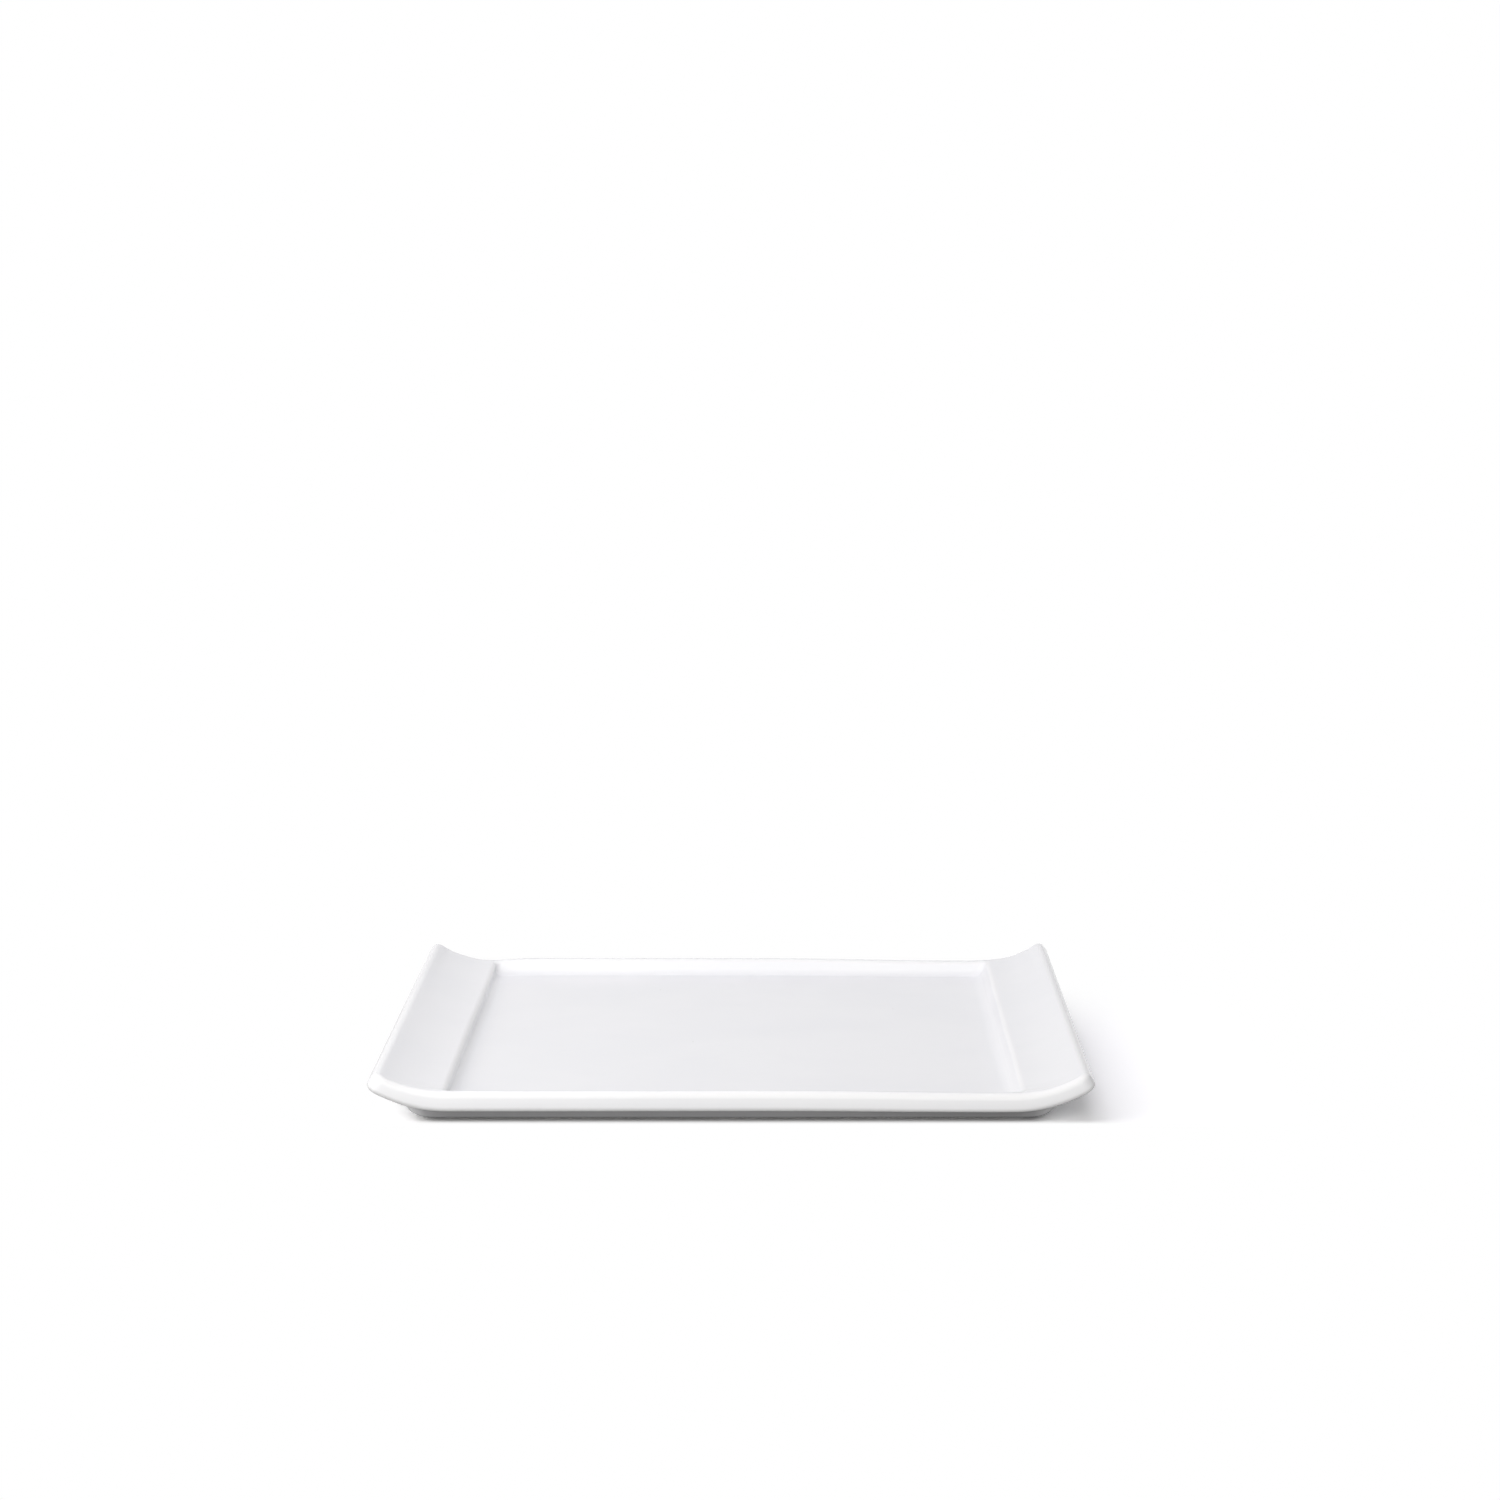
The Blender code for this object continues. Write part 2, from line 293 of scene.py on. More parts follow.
class Socket:
    """An output in a shader tree. Arithmetic on it adds Math nodes to the same tree."""

    def __init__(self, tree, output=None):
        self.tree = tree
        self.output = output

    def node(self, kind, settings=None, sockets=None, result=0):
        """Adds a node of a type, sets it up, feeds its sockets, and gives the output asked for."""
        made = self.tree.nodes.new(kind)
        for name, value in (settings or {}).items():
            setattr(made, name, value)
        for name, value in (sockets or {}).items():
            if isinstance(value, Socket):
                self.tree.links.new(value.output, made.inputs[name])
            else:
                made.inputs[name].default_value = value
        return Socket(self.tree, made.outputs[result])

    def math(self, operation, first, second):
        """One step of arithmetic on two values."""
        return self.node("ShaderNodeMath", {"operation": operation}, {0: first, 1: second})

    def __add__(self, other):
        return self.math("ADD", self, other)

    __radd__ = __add__

    def __sub__(self, other):
        return self.math("SUBTRACT", self, other)

    def __rsub__(self, other):
        return self.math("SUBTRACT", other, self)

    def __mul__(self, other):
        return self.math("MULTIPLY", self, other)

    __rmul__ = __mul__

    def ramp(self, low, high):
        """0 where this value is low, 1 where it is high, and a smooth step between."""
        settings = {"interpolation_type": "SMOOTHSTEP"}
        return self.node("ShaderNodeMapRange", settings, {"Value": self, "From Min": low, "From Max": high})

    def tint(self, under, over):
        """The colour under this mask, and the other colour over it."""
        return self.node("ShaderNodeMix", {"data_type": "RGBA"}, {0: self, 6: under, 7: over}, result=2)

    def grain(self, scale, detail=2.0):
        """Noise on these coordinates, from 0 to 1."""
        return self.node("ShaderNodeTexNoise", None, {"Vector": self, "Scale": scale, "Detail": detail})

    def bump(self, distance):
        """A normal roughened by this height."""
        return self.node("ShaderNodeBump", None, {"Strength": 1.0, "Distance": distance, "Height": self})


def rgba(colour):
    """A colour with full opacity."""
    return (*colour, 1.0)


def spread(start, end, steps):
    """Values from start to end in that many equal steps."""
    return [start + (end - start) * i / steps for i in range(steps + 1)]


def swell(steps):
    """Values that rise from 0 to 1 in the middle and fall back, one for each point of an arc."""
    return [math.sin(a) for a in spread(0, math.pi, steps)]


def between(first, last, steps):
    """The loops strictly between two loops, in that many equal steps."""
    return [
        Loop(*(a + (b - a) * share for a, b in zip(first, last)))
        for share in spread(0, 1, steps)[1:-1]
    ]


def rounding(radius, slope, steps=ARC_STEPS):
    """(run, drop) points of a rounding that starts level and ends at a slope."""
    return [
        (radius * math.sin(a), radius * (1 - math.cos(a)))
        for a in spread(0, slope, steps)
    ]


def wall_slope(run, drop, radii):
    """Angle of the straight part of a wall whose roundings, together of these radii, end level."""
    return math.asin(radii / math.hypot(run, radii - drop)) - math.atan2(radii - drop, run)


def sloping_side(run, drop, upper_radius, upper_pool, lower_radius, lower_pool):
    """(run, drop, pool) points down a side that rounds off, slopes and rounds level again."""
    slope = wall_slope(run, drop, upper_radius + lower_radius)
    upper = [(*point, pool) for point, pool in zip(rounding(upper_radius, slope), upper_pool)]
    lower = [
        (run - back, drop - up, pool)
        for (back, up), pool in zip(rounding(lower_radius, slope)[::-1], lower_pool)
    ]
    return upper + lower


class PlateForm:
    """The clay body's surface as loops, from the middle of the well to the middle of the underside."""

    def __init__(self, sizes):
        self.sizes = sizes
        self.edge_height = WELL_FLOOR_HEIGHT + sizes.well_depth
        self.well_half_y = sizes.half_depth - sizes.edge_radius - sizes.lip_crest
        self.bend_start = sizes.well_half_width - sizes.wing_lead
        self.base_half_x = sizes.well_half_width + sizes.base_spread
        self.base_half_y = sizes.half_depth - sizes.base_setback
        self.foot_half_x = sizes.well_half_width - sizes.foot_spread
        self.foot_half_y = sizes.half_depth - sizes.foot_setback
        self.flat_half_width = self.find_flat_half_width()
        self.edge = self.edge_loops()

    def rolled(self, x, height):
        """Where a point of the flat plate goes when the end that it lies on is rolled up."""
        past = abs(x) - self.bend_start
        if past <= 0:
            return x, height
        angle = past / self.sizes.wing_radius
        radius = self.sizes.wing_radius + self.edge_height - height
        across = self.bend_start + radius * math.sin(angle)
        return math.copysign(across, x), self.edge_height + self.sizes.wing_radius - radius * math.cos(angle)

    def outer_edge(self):
        """(inset, drop, pool) round the outer edge, from its crest to its underside."""
        upper_radius = self.sizes.edge_radius
        lower_radius = self.sizes.under_radius
        thin = [-share for share in swell(ARC_STEPS)]
        upper = [
            (upper_radius - run, drop, pool)
            for (run, drop), pool in zip(rounding(upper_radius, math.pi / 2), thin)
        ]
        lower = [
            (lower_radius - run, self.sizes.shell - drop, pool)
            for (run, drop), pool in zip(rounding(lower_radius, math.pi / 2)[::-1], thin)
        ]
        return upper + lower

    def find_flat_half_width(self):
        """Half width of the flat plate whose rolled-up ends reach the body's own half width."""
        low = self.bend_start
        high = self.bend_start + self.sizes.wing_radius * math.pi / 2
        for _ in range(BISECTIONS):
            middle = (low + high) / 2
            reach = max(
                self.rolled(middle - inset, self.edge_height - drop)[0]
                for inset, drop, _ in self.outer_edge()
            )
            if reach < self.sizes.half_width:
                low = middle
            else:
                high = middle
        return low

    def edge_loops(self):
        """Loops round the outer edge."""
        return [
            Loop(
                half_x=self.flat_half_width - inset,
                half_y=self.sizes.half_depth - inset,
                corner=max(self.sizes.edge_corner - inset, LEAST_CORNER),
                height=self.edge_height - drop,
                roll=1,
                pool=pool,
            )
            for inset, drop, pool in self.outer_edge()
        ]

    def wall_loops(self):
        """Loops down the well's side, from its top edge to its floor."""
        sizes = self.sizes
        profile = sloping_side(
            sizes.wall_run, sizes.well_depth,
            sizes.wall_rim_radius, [-share for share in swell(ARC_STEPS)],
            sizes.wall_floor_radius, swell(2 * ARC_STEPS)[:ARC_STEPS + 1])
        return [
            Loop(
                half_x=sizes.well_half_width - run,
                half_y=self.well_half_y - run,
                corner=sizes.well_corner + (sizes.floor_corner - sizes.well_corner) * run / sizes.wall_run,
                height=self.edge_height - drop,
                roll=1,
                pool=pool,
            )
            for run, drop, pool in profile
        ]

    def level_loops(self, last):
        """Loops on the level ground inside a given one, inwards to where the glaze no longer pools."""
        return [
            last._replace(half_x=last.half_x - inset, half_y=last.half_y - inset, pool=pool)
            for inset, pool in POOL_RINGS
        ]

    def flank_loops(self):
        """Loops under the ends and lips, and down the sloping flank to the lower edge of the base."""
        sizes = self.sizes
        underside = self.edge[-1]
        flank_half_y = sizes.half_depth - sizes.under_radius - sizes.under_ledge
        flank_run = flank_half_y - self.base_half_y
        flank_half_x = min(self.base_half_x + flank_run, underside.half_x - sizes.under_ledge)
        profile = sloping_side(
            flank_run, underside.height - sizes.foot_height,
            sizes.flank_radius, swell(ARC_STEPS),
            sizes.base_radius, [-share for share in swell(ARC_STEPS)])
        flank = [
            Loop(
                half_x=flank_half_x + (self.base_half_x - flank_half_x) * run / flank_run,
                half_y=flank_half_y - run,
                corner=sizes.base_corner + flank_run - run,
                height=underside.height - drop,
                roll=1 - run / flank_run,
                pool=pool,
            )
            for run, drop, pool in profile
        ]
        return between(underside, flank[0], UNDER_WING_STEPS) + flank

    def foot_loops(self, profile):
        """Loops round the foot ring that follow (inset, height, pool) points."""
        return [
            Loop(
                half_x=self.foot_half_x - inset,
                half_y=self.foot_half_y - inset,
                corner=max(self.sizes.foot_corner - inset, LEAST_CORNER),
                height=height,
                roll=0,
                pool=pool,
            )
            for inset, height, pool in profile
        ]

    def face(self):
        """Loops of the face, the edge and the outer underside, down to the lower edge of the glaze."""
        wall = self.wall_loops()
        ends = between(wall[0], self.edge[0], WING_STEPS)
        flank = self.flank_loops()
        foot = self.foot_loops(self.foot_side())
        under = between(flank[-1], foot[0], UNDER_BASE_STEPS)
        return self.level_loops(wall[-1])[::-1] + wall[::-1] + ends + self.edge + flank + under + foot

    def foot_side(self):
        """(inset, height, pool) from the underside down the foot ring's side to the glaze's lower edge."""
        radius = self.sizes.foot_fillet
        top = self.sizes.foot_height
        fillet = [
            (-radius * (1 - math.cos(a)), top - radius * (1 - math.sin(a)), math.sin(2 * a))
            for a in spread(math.pi / 2, 0, FOOT_ARC_STEPS)
        ]
        return fillet + [(0, height, 0) for height in spread(top - radius, GLAZE_LINE, FOOT_ARC_STEPS)[1:]]

    def bare_foot(self):
        """Loops round the unglazed resting face of the foot ring."""
        radius = self.sizes.foot_round
        outer = [
            (radius * (1 - math.cos(a)), radius * (1 - math.sin(a)), 0)
            for a in spread(0, math.pi / 2, FOOT_ARC_STEPS)
        ]
        inner = [(self.sizes.foot_width - inset, height, 0) for inset, height, _ in reversed(outer)]
        return self.foot_loops(outer + inner)

    def base(self):
        """Loops from the foot ring's inner side onto the underside that it encloses."""
        inner_side = [
            (self.sizes.foot_width - inset, height, pool)
            for inset, height, pool in reversed(self.foot_side())
        ]
        loops = self.foot_loops(inner_side)
        return loops + self.level_loops(loops[-1])

    def quarter(self, loop):
        """Plan points of a quarter of a loop, from the middle of its +X side to the middle of its +Y side."""
        straight_x = loop.half_x - loop.corner
        straight_y = loop.half_y - loop.corner
        side = [(loop.half_x, straight_y * share) for share in spread(0, 1, SIDE_STEPS)[:-1]]
        corner = [
            (straight_x + loop.corner * math.cos(a), straight_y + loop.corner * math.sin(a))
            for a in spread(0, math.pi / 2, CORNER_STEPS)
        ]
        bend_share = self.bend_start / (self.flat_half_width - self.sizes.edge_corner)
        shares = spread(1, bend_share, WING_STEPS)[1:] + spread(bend_share, 0, MIDDLE_STEPS)[1:]
        return side + corner + [(straight_x * share, loop.half_y) for share in shares]

    def points(self, loop):
        """The points of a whole loop in space, anticlockwise seen from above, with the warp of firing."""
        quarter = self.quarter(loop)
        back = quarter + [(-x, y) for x, y in quarter[-2::-1]]
        plan = back + [(x, -y) for x, y in back[-2:0:-1]]
        points = []
        for x, y in plan:
            rolled_x, rolled_z = self.rolled(x, loop.height)
            flat = Vector((x, y, loop.height))
            points.append(fired(flat.lerp(Vector((rolled_x, y, rolled_z)), loop.roll)))
        return points


def smooth_step(start, end, value):
    """0 at the start, 1 at the end, and a smooth rise between."""
    share = min(max((value - start) / (end - start), 0), 1)
    return share * share * (3 - 2 * share)


def lowering(point):
    """How far firing lowers a point, below zero where the front lip rises. The resting face stays level."""
    where = Vector((point.x / WAVE_LENGTH, point.y / WAVE_LENGTH, WAVE_SLICE))
    wave = WAVE_DEPTH * (1 + noise.noise(where)) / 2
    sag = SAG_FRONT + (SAG_BACK - SAG_FRONT) * smooth_step(CLAY_LOW[1], CLAY_HIGH[1], point.y)
    sag *= smooth_step(SAG_START, SAG_FULL, point.x) * smooth_step(SAG_END, SAG_FULL, point.x)
    left = DIP_LEFT * smooth_step(DIP_LEFT_START, DIP_FULL, -point.x)
    right = DIP_RIGHT * smooth_step(DIP_RIGHT_START, DIP_FULL, point.x)
    dip = (left + right) * smooth_step(DIP_TIP, DIP_INNER, abs(point.x))
    dip *= smooth_step(DIP_BACK_START, DIP_BACK_FULL, point.y)
    rise = RISE * smooth_step(RISE_START, RISE_FULL, -point.y) * smooth_step(RISE_LOW, RISE_HIGH, point.z)
    rise *= smooth_step(RISE_END, RISE_SIDE, abs(point.x))
    return (wave + sag + dip) * smooth_step(LOWERED_LOW, LOWERED_HIGH, point.z) - rise


def shifting(point):
    """How far firing moves a point in plan, along x and y. The outline stays true."""
    where = Vector((point.x / DRIFT_LENGTH, point.y / DRIFT_LENGTH, DRIFT_SLICE))
    inner_x = smooth_step(CLAY_HIGH[0], CLAY_HIGH[0] - DRIFT_MARGIN, abs(point.x))
    inner_y = smooth_step(CLAY_HIGH[1], CLAY_HIGH[1] - DRIFT_MARGIN, abs(point.y))
    across, along, _ = noise.noise_vector(where) * DRIFT * inner_x * inner_y
    pull = PULL * smooth_step(PULL_START, PULL_FULL, -point.x) * smooth_step(PULL_LOW, PULL_HIGH, point.z)
    return across + pull * inner_x, along


def fired(point):
    """A point of the clay where firing leaves it."""
    across, along = shifting(point)
    return point + Vector((across, along, -lowering(point)))


def fill_level(bm, row):
    """Fills a loop, cut at the middles of its four corners, with quads on lines from side to side."""
    quarter = SIDE_STEPS + CORNER_STEPS + WING_STEPS + MIDDLE_STEPS
    first = SIDE_STEPS + CORNER_STEPS // 2
    second = 2 * quarter - first
    third = 2 * quarter + first
    fourth = 4 * quarter - first
    front = row[third:fourth + 1]
    back = row[first:second + 1][::-1]
    left = row[second:third + 1][::-1]
    right = row[fourth:] + row[:first + 1]
    columns = len(front) - 1
    lines = len(left) - 1
    grid = [front]
    for j in range(1, lines):
        v = j / lines
        line = [left[j]]
        for i in range(1, columns):
            u = i / columns
            across = left[j].co.lerp(right[j].co, u)
            along = front[i].co.lerp(back[i].co, v)
            corners = front[0].co.lerp(front[-1].co, u).lerp(back[0].co.lerp(back[-1].co, u), v)
            line.append(bm.verts.new(across + along - corners))
        grid.append(line + [right[j]])
    grid.append(back)
    faces = []
    for lower, upper in zip(grid, grid[1:]):
        for i in range(columns):
            faces.append(bm.faces.new((lower[i], lower[i + 1], upper[i + 1], upper[i])))
    return faces


def skinned(name, form, loops, fill_first=False, fill_last=False):
    """A mesh of quads strung between successive loops, with the first or the last loop filled in."""
    mesh = bpy.data.meshes.new(name)
    bm = bmesh.new()
    pool = bm.verts.layers.float.new("pool")
    # The drift's noise takes its offsets from the seed, so that all pieces drift alike in every run
    noise.seed_set(DRIFT_SEED)
    rows = []
    for loop in loops:
        row = [bm.verts.new(point) for point in form.points(loop)]
        for vert in row:
            vert[pool] = loop.pool
        rows.append(row)
    for upper, lower in zip(rows, rows[1:]):
        for i in range(len(upper)):
            bm.faces.new((upper[i - 1], lower[i - 1], lower[i], upper[i]))
    if fill_first:
        fill_level(bm, rows[0])
    if fill_last:
        bmesh.ops.reverse_faces(bm, faces=fill_level(bm, rows[-1]))
    bm.to_mesh(mesh)
    bm.free()
    mesh.shade_smooth()
    return mesh


def piece(mesh, node, material):
    """An object for a mesh that stands for one node of the frame."""
    made = bpy.data.objects.new(mesh.name, mesh)
    mesh.materials.append(material)
    bpy.context.scene.collection.objects.link(made)
    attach(made, BODY)
    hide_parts(node)
    return made


def lay_glaze(coat, bond):
    """Lifts a patch of the clay's surface off by the bond line and thickens it outwards into a coat."""
    lift = coat.modifiers.new("bond line", "DISPLACE")
    lift.mid_level = 0
    lift.strength = bond
    thicken = coat.modifiers.new("coat", "SOLIDIFY")
    thicken.thickness = COAT - bond
    thicken.offset = 1
    thicken.use_even_offset = True


def new_material(name):
    """A material, its Principled shader, and a socket to start its tree from."""
    material = bpy.data.materials.new(name)
    material.use_nodes = True
    tree = material.node_tree
    return material, tree.nodes["Principled BSDF"], Socket(tree)


def feed(shader, **sockets):
    """Links values that change over the surface to a shader's sockets."""
    for name, value in sockets.items():
        value.tree.links.new(value.output, shader.inputs[name.replace("_", " ").title()])


# The glaze: scales in repeats per metre, steps from where a mask is 0 to where it is 1, and shares of a tint
CLOUD_SCALE = 24.0
CLOUD_STEP = (0.35, 0.65)
SPECK_SCALE = 70.0
SPECK_STEP = (0.022, 0.010)
POOLED_SHARE = 0.14
THIN_SHARE = 0.35
SPECK_SHARE = 0.60
RIPPLE_SCALE = 120.0
RIPPLE_SHARE = 0.8
FINE_RIPPLE_SCALE = 650.0
FINE_RIPPLE_SHARE = 0.2
RIPPLE_HEIGHT = 0.00002
SMEAR_SCALE = 60.0
SMEAR_ROUGHNESS = 0.05
GLAZE_ROUGHNESS = 0.11
SPECK_ROUGHNESS = 0.10
GLAZE_IOR = 1.5

# The bare porcelain, in the same way
GRAIN_SCALE = 2200.0
GRAIN_DETAIL = 3.0
GRAIN_STEP = (0.45, 0.75)
GRAIN_HEIGHT = 0.00006
RUB_SCALE = 90.0
RUB_STEP = (0.52, 0.72)
RUB_GRAIN_STEP = (0.40, 0.60)
RUB_HEIGHT_STEP = (0.00025, 0.00005)
RUB_SHARE = 0.55
RUB_POLISH = 0.2
PORCELAIN_ROUGHNESS = 0.85
PORCELAIN_IOR = 1.45


def glaze_finish(name, colours):
    """White gloss glaze, cool in hollows and warmer over edges, with clouds, specks and a soft ripple."""
    material, shader, start = new_material(name)
    place = start.node("ShaderNodeTexCoord", result="Object")
    pool = start.node("ShaderNodeAttribute", {"attribute_name": "pool"}, result="Fac")
    gathered = pool.ramp(0.0, 1.0)
    thin = pool.ramp(0.0, -1.0)

    clouds = place.grain(CLOUD_SCALE).ramp(*CLOUD_STEP)
    cells = place.node(
        "ShaderNodeTexVoronoi", None, {"Vector": place, "Scale": SPECK_SCALE}, result="Distance")
    speck = cells.ramp(*SPECK_STEP)

    colour = clouds.tint(rgba(colours.glaze), rgba(colours.glaze_warm))
    colour = (gathered * POOLED_SHARE).tint(colour, rgba(colours.glaze_pooled))
    colour = (thin * THIN_SHARE).tint(colour, rgba(colours.glaze_thin))
    colour = (speck * SPECK_SHARE).tint(colour, rgba(colours.speck))

    ripple = place.grain(RIPPLE_SCALE) * RIPPLE_SHARE + place.grain(FINE_RIPPLE_SCALE) * FINE_RIPPLE_SHARE
    smears = place.grain(SMEAR_SCALE) * SMEAR_ROUGHNESS
    roughness = smears + GLAZE_ROUGHNESS + speck * SPECK_ROUGHNESS
    feed(shader, base_color=colour, roughness=roughness, normal=ripple.bump(RIPPLE_HEIGHT))
    shader.inputs["IOR"].default_value = GLAZE_IOR
    return material


def porcelain_finish(name, colours):
    """Bare fired porcelain: a fine dry grain, with faint grey rubs on the face that it stands on."""
    material, shader, start = new_material(name)
    place = start.node("ShaderNodeTexCoord", result="Object")
    height = start.node("ShaderNodeSeparateXYZ", None, {"Vector": place}, result="Z")
    grain = place.grain(GRAIN_SCALE, GRAIN_DETAIL)
    patches = place.grain(RUB_SCALE).ramp(*RUB_STEP)
    rubs = patches * grain.ramp(*RUB_GRAIN_STEP) * height.ramp(*RUB_HEIGHT_STEP)

    colour = grain.ramp(*GRAIN_STEP).tint(rgba(colours.porcelain), rgba(colours.porcelain_dark))
    colour = (rubs * RUB_SHARE).tint(colour, rgba(colours.scuff))
    roughness = PORCELAIN_ROUGHNESS - rubs * RUB_POLISH
    feed(shader, base_color=colour, roughness=roughness, normal=grain.bump(GRAIN_HEIGHT))
    shader.inputs["IOR"].default_value = PORCELAIN_IOR
    return material


class PLATE_OT_fired_body(bpy.types.Operator):
    """Makes the fired porcelain body, bare only on its foot ring"""

    bl_idname = "plate.fired_body"
    bl_label = "Fired body"

    def execute(self, context):
        form = PlateForm(context.scene.plate_sizes)
        loops = form.face() + form.bare_foot() + form.base()
        mesh = skinned("fired_body", form, loops, fill_first=True, fill_last=True)
        finish = porcelain_finish("bare_porcelain_grain", context.scene.plate_finishes)
        piece(mesh, "porcelain_body", finish)
        return {"FINISHED"}


class PLATE_OT_face_glaze(bpy.types.Operator):
    """Lays the glaze over the well, ends, lips, edge and outer underside"""

    bl_idname = "plate.face_glaze"
    bl_label = "Face glaze"

    def execute(self, context):
        form = PlateForm(context.scene.plate_sizes)
        mesh = skinned("face_glaze_coat", form, form.face(), fill_first=True)
        finish = glaze_finish("white_gloss_face", context.scene.plate_finishes)
        lay_glaze(piece(mesh, "face_glaze", finish), context.scene.plate_sizes.bond)
        return {"FINISHED"}


class PLATE_OT_base_glaze(bpy.types.Operator):
    """Lays the patch of glaze on the underside inside the foot ring"""

    bl_idname = "plate.base_glaze"
    bl_label = "Base glaze"

    def execute(self, context):
        form = PlateForm(context.scene.plate_sizes)
        mesh = skinned("base_glaze_coat", form, form.base(), fill_last=True)
        finish = glaze_finish("white_gloss_base", context.scene.plate_finishes)
        lay_glaze(piece(mesh, "base_glaze", finish), context.scene.plate_sizes.bond)
        return {"FINISHED"}


# The floor's middle lies off the plate's, so that no edge of its two triangles runs under the plate
FLOOR_LEFT, FLOOR_RIGHT = -6.0, 2.0
FLOOR_FRONT, FLOOR_BACK = -2.0, 6.0
FLOOR_DROP = 0.00002
WHITE = (1.0, 1.0, 1.0)

# A patch of the floor: where it begins to fade, and where it ends, on each of its four sides
Patch = namedtuple("Patch", "left right front back")

# Outside these two the floor is white, as it is seen and as the glaze mirrors it
SHADOW_PATCH = Patch(
    left=(-0.0975, -0.1115), right=(0.122, 0.180), front=(-0.0880, -0.0936), back=(0.000, 0.110))
MIRROR_PATCH = Patch(
    left=(-0.104, -0.135), right=(0.096, 0.130), front=(-0.100, -0.140), back=(0.100, 0.140))

# Under the left end, under the right end and behind, the floor that lights the plate from below is pale
PALE_PATCHES = (
    Patch(left=(-0.112, -0.120), right=(-0.100, -0.092), front=(-0.092, -0.104), back=(0.100, 0.110)),
    Patch(left=(0.100, 0.092), right=(0.118, 0.130), front=(-0.092, -0.104), back=(0.100, 0.110)),
    Patch(left=(-0.200, -0.220), right=(0.200, 0.220), front=(0.094, 0.084), back=(0.300, 0.320)),
)

# Inside the foot ring the floor glows, which lights the underside alone
GLOW_PATCH = Patch(
    left=(-0.0868, -0.0876), right=(0.0868, 0.0876), front=(-0.0843, -0.0851), back=(0.0843, 0.0851))

# A square lamp: its turn from the front towards the left and its rise, in degrees, then its distance and size
Softbox = namedtuple("Softbox", "turn rise distance size")
KEY_BOX = Softbox(turn=54, rise=29, distance=0.65, size=0.55)
FRONT_BOX = Softbox(turn=-8, rise=20, distance=1.40, size=0.80)
BACK_BOX = Softbox(turn=165, rise=60, distance=0.90, size=0.70)

# The lamps face this point of the plate
LIT_POINT = Vector((0, 0, 0.008))

# The camera looks along +Y, a little down. Its lens is in millimetres
CAMERA_PLACE = Vector((0.0150, -1.1160, 0.2702))
CAMERA_PITCH = math.radians(8.64)
CAMERA_YAW = math.radians(0.50)
CAMERA_ROLL = math.radians(-0.14)
CAMERA_LENS = 83.24


def ray_masks(start):
    """Masks that are 1 for rays from the camera, for mirrored rays and for rays through clear things."""
    kinds = ("Is Camera Ray", "Is Glossy Ray", "Is Transmission Ray")
    return [start.node("ShaderNodeLightPath", result=kind) for kind in kinds]


def floor_finish(stage):
    """Pale floor that keeps the plate's shadow, is white further off, and is clear from below.

    It lights the plate from below as a grey with pale patches, and glows inside the foot ring.
    """
    material, shader, start = new_material("pale_floor")
    tree = material.node_tree
    tree.nodes.remove(shader)
    from_camera, mirrored, through = ray_masks(start)
    place = start.node("ShaderNodeTexCoord", result="Object")
    across = start.node("ShaderNodeSeparateXYZ", None, {"Vector": place}, result="X")
    along = start.node("ShaderNodeSeparateXYZ", None, {"Vector": place}, result="Y")

    def within(patch):
        """A mask that is 1 on a patch and fades to 0 at its sides."""
        sides = (1 - across.ramp(*patch.left)) * (1 - across.ramp(*patch.right))
        return sides * (1 - along.ramp(*patch.front)) * (1 - along.ramp(*patch.back))

    def mix(share, first, second):
        """The first shader where the share is 0, and the second where it is 1."""
        return start.node("ShaderNodeMixShader", None, {0: share, 1: first, 2: second})

    def matt(colour):
        """A matt paint."""
        return start.node("ShaderNodeBsdfDiffuse", None, {"Color": rgba(colour)})

    def glow(colour):
        """A colour that shows as it is written, whatever light falls on it."""
        return start.node("ShaderNodeEmission", None, {"Color": rgba(colour), "Strength": 1.0})

    bounce = matt(stage.floor_bounce)
    pale = matt(stage.pale_bounce)
    for patch in PALE_PATCHES:
        bounce = mix(within(patch), bounce, pale)
    lighting = mix(within(GLOW_PATCH), bounce, glow(stage.under_glow))
    white = glow(WHITE)
    reflected = mix(within(MIRROR_PATCH), white, lighting)
    seen = mix(within(SHADOW_PATCH), white, matt(stage.floor))

    unseen = mix(mirrored + through, lighting, reflected)
    from_above = mix(from_camera, unseen, seen)
    from_below = start.node("ShaderNodeNewGeometry", result="Backfacing")
    surface = mix(from_below, from_above, start.node("ShaderNodeBsdfTransparent"))
    tree.links.new(surface.output, tree.nodes["Material Output"].inputs["Surface"])
    return material


def floor_piece(stage):
    """The floor, just under the plate's resting face."""
    mesh = bpy.data.meshes.new("floor")
    corners = [
        (FLOOR_LEFT, FLOOR_FRONT), (FLOOR_RIGHT, FLOOR_FRONT),
        (FLOOR_RIGHT, FLOOR_BACK), (FLOOR_LEFT, FLOOR_BACK),
    ]
    mesh.from_pydata([(x, y, -FLOOR_DROP) for x, y in corners], [], [(0, 1, 2, 3)])
    mesh.materials.append(floor_finish(stage))
    floor = bpy.data.objects.new("floor", mesh)
    bpy.context.scene.collection.objects.link(floor)


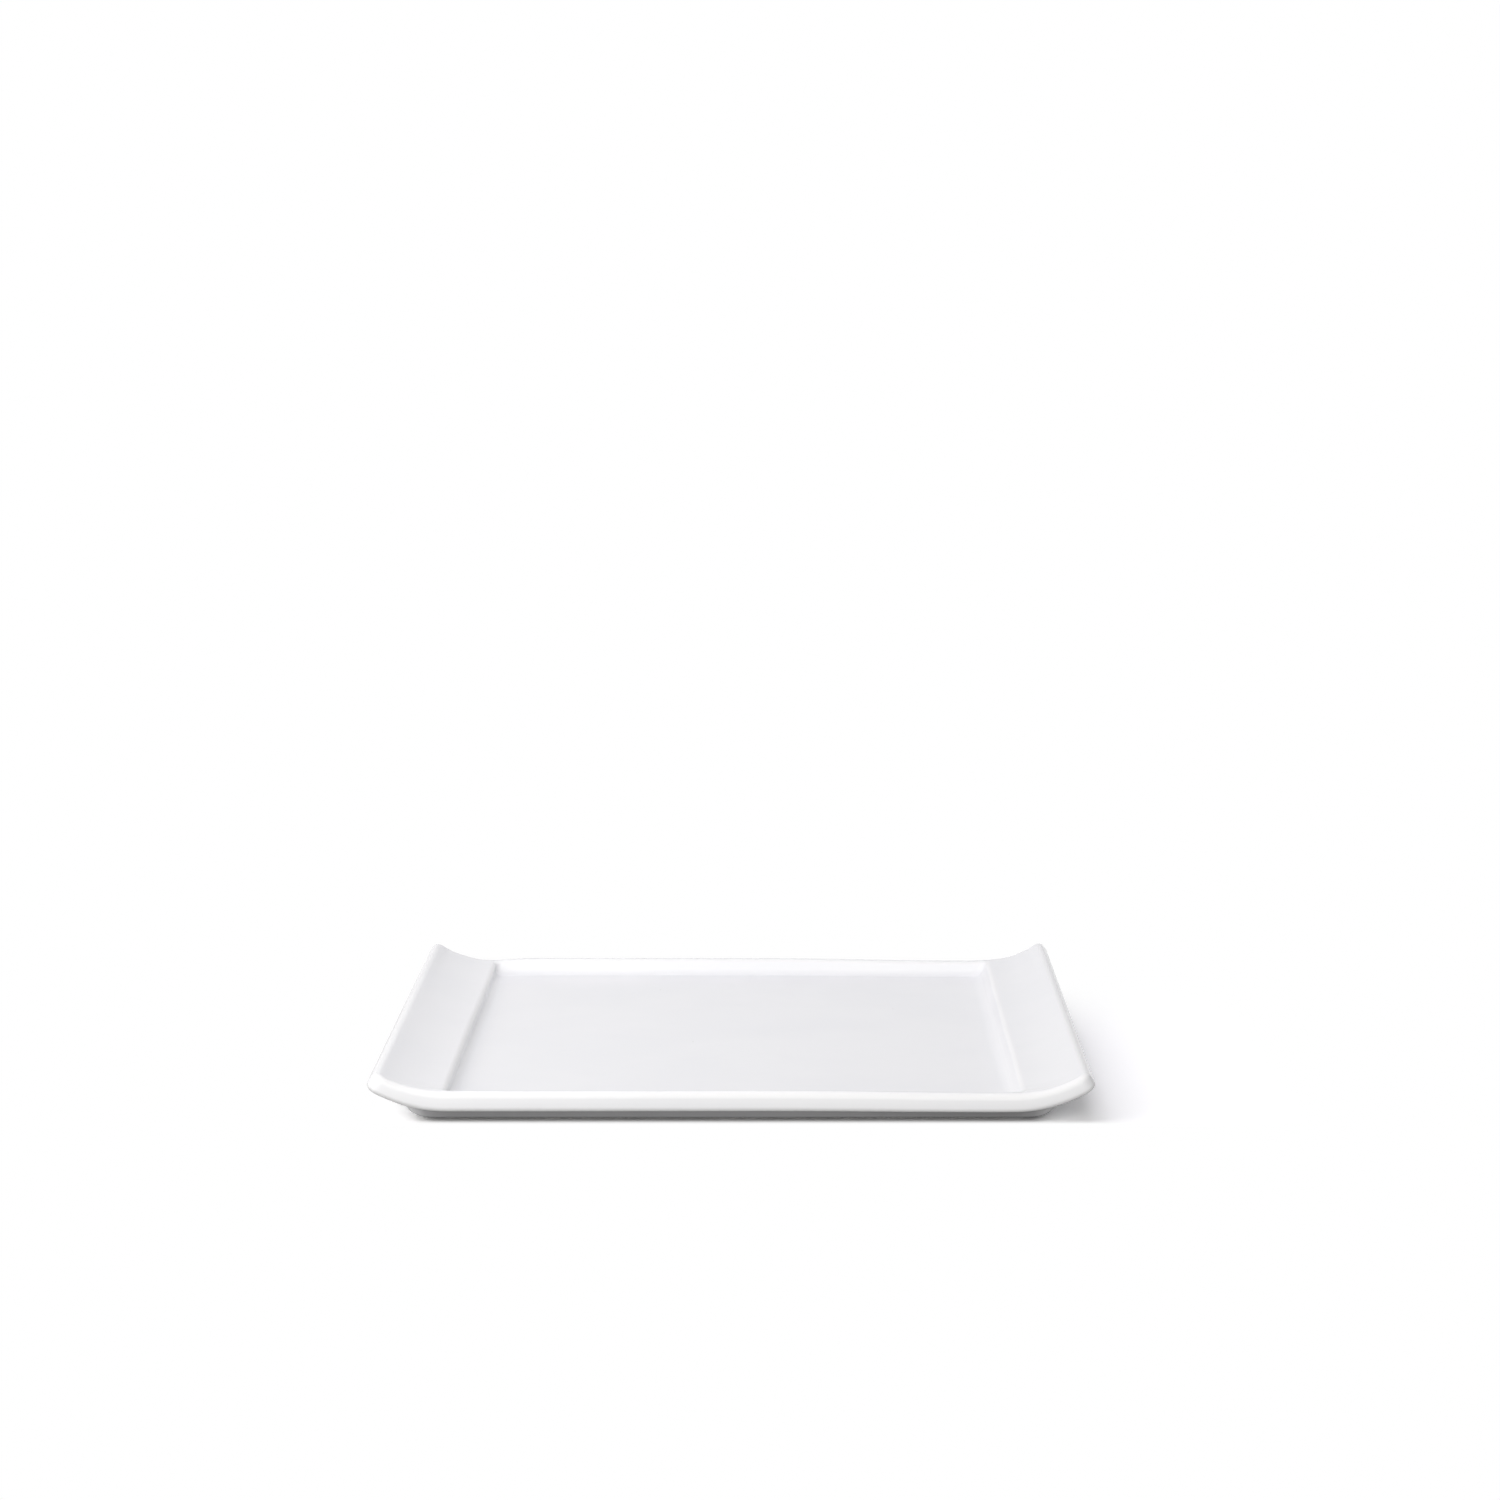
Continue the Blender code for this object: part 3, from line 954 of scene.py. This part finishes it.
def hang_softbox(name, box, power, colour, mirrored):
    """A lamp that faces the plate. Where it isn't mirrored, the glaze shows no image of it."""
    turn = math.radians(box.turn)
    rise = math.radians(box.rise)
    level = box.distance * math.cos(rise)
    place = Vector((-level * math.sin(turn), -level * math.cos(turn), box.distance * math.sin(rise)))
    light = bpy.data.lights.new(name, "AREA")
    light.size = box.size
    light.energy = power
    light.color = colour
    lamp = bpy.data.objects.new(name, light)
    lamp.location = place
    lamp.visible_glossy = mirrored
    lamp.rotation_euler = (LIT_POINT - place).to_track_quat("-Z", "Y").to_euler()
    bpy.context.scene.collection.objects.link(lamp)


def sky(colour):
    """Even light from all round, and plain white where the camera or a reflection sees past the floor."""
    world = bpy.data.worlds.new("studio")
    world.use_nodes = True
    tree = world.node_tree
    from_camera, mirrored, through = ray_masks(Socket(tree))
    seen = from_camera + mirrored + through
    light = seen.ramp(0.0, 1.0).tint(rgba(colour), rgba(WHITE))
    tree.links.new(light.output, tree.nodes["Background"].inputs["Color"])
    bpy.context.scene.world = world


def camera():
    """The camera that sees the plate from the front."""
    data = bpy.data.cameras.new("camera")
    data.lens = CAMERA_LENS
    made = bpy.data.objects.new("camera", data)
    turn = (
        Matrix.Rotation(CAMERA_YAW, 4, "Z")
        @ Matrix.Rotation(math.pi / 2 - CAMERA_PITCH, 4, "X")
        @ Matrix.Rotation(CAMERA_ROLL, 4, "Z")
    )
    made.matrix_world = Matrix.Translation(CAMERA_PLACE) @ turn
    bpy.context.scene.collection.objects.link(made)
    bpy.context.scene.camera = made


class PLATE_OT_stage(bpy.types.Operator):
    """Sets up the floor, the soft lights and the camera"""

    bl_idname = "plate.stage"
    bl_label = "Stage"

    def execute(self, context):
        stage = context.scene.plate_stage
        floor_piece(stage)
        hang_softbox("key softbox", KEY_BOX, stage.key_power, stage.key_colour, mirrored=True)
        hang_softbox("front softbox", FRONT_BOX, stage.front_power, stage.key_colour, mirrored=False)
        hang_softbox("back softbox", BACK_BOX, stage.back_power, stage.back_colour, mirrored=False)
        sky(stage.sky)
        camera()
        context.scene.view_settings.view_transform = "Standard"
        return {"FINISHED"}


class PLATE_PT_panel(bpy.types.Panel):
    """Lists the pieces of the plate and its stage"""

    bl_label = "Square Plate"
    bl_space_type = "VIEW_3D"
    bl_region_type = "UI"
    bl_category = "Plate"

    def draw(self, context):
        column = self.layout.column()
        for operator in OPERATORS:
            column.operator(operator.bl_idname)


OPERATORS = (PLATE_OT_fired_body, PLATE_OT_face_glaze, PLATE_OT_base_glaze, PLATE_OT_stage)
GROUPS = {"plate_sizes": PlateSizes, "plate_finishes": PlateFinishes, "plate_stage": PlateStage}
CLASSES = (*GROUPS.values(), *OPERATORS, PLATE_PT_panel)


def register():
    for cls in CLASSES:
        bpy.utils.register_class(cls)
    for name, group in GROUPS.items():
        setattr(bpy.types.Scene, name, bpy.props.PointerProperty(type=group))


def unregister():
    for name in GROUPS:
        delattr(bpy.types.Scene, name)
    for cls in reversed(CLASSES):
        bpy.utils.unregister_class(cls)


def main():
    """Builds the plate and its stage."""
    register()
    bpy.ops.plate.fired_body()
    bpy.ops.plate.face_glaze()
    bpy.ops.plate.base_glaze()
    bpy.ops.plate.stage()


if __name__ == "__main__":
    main()
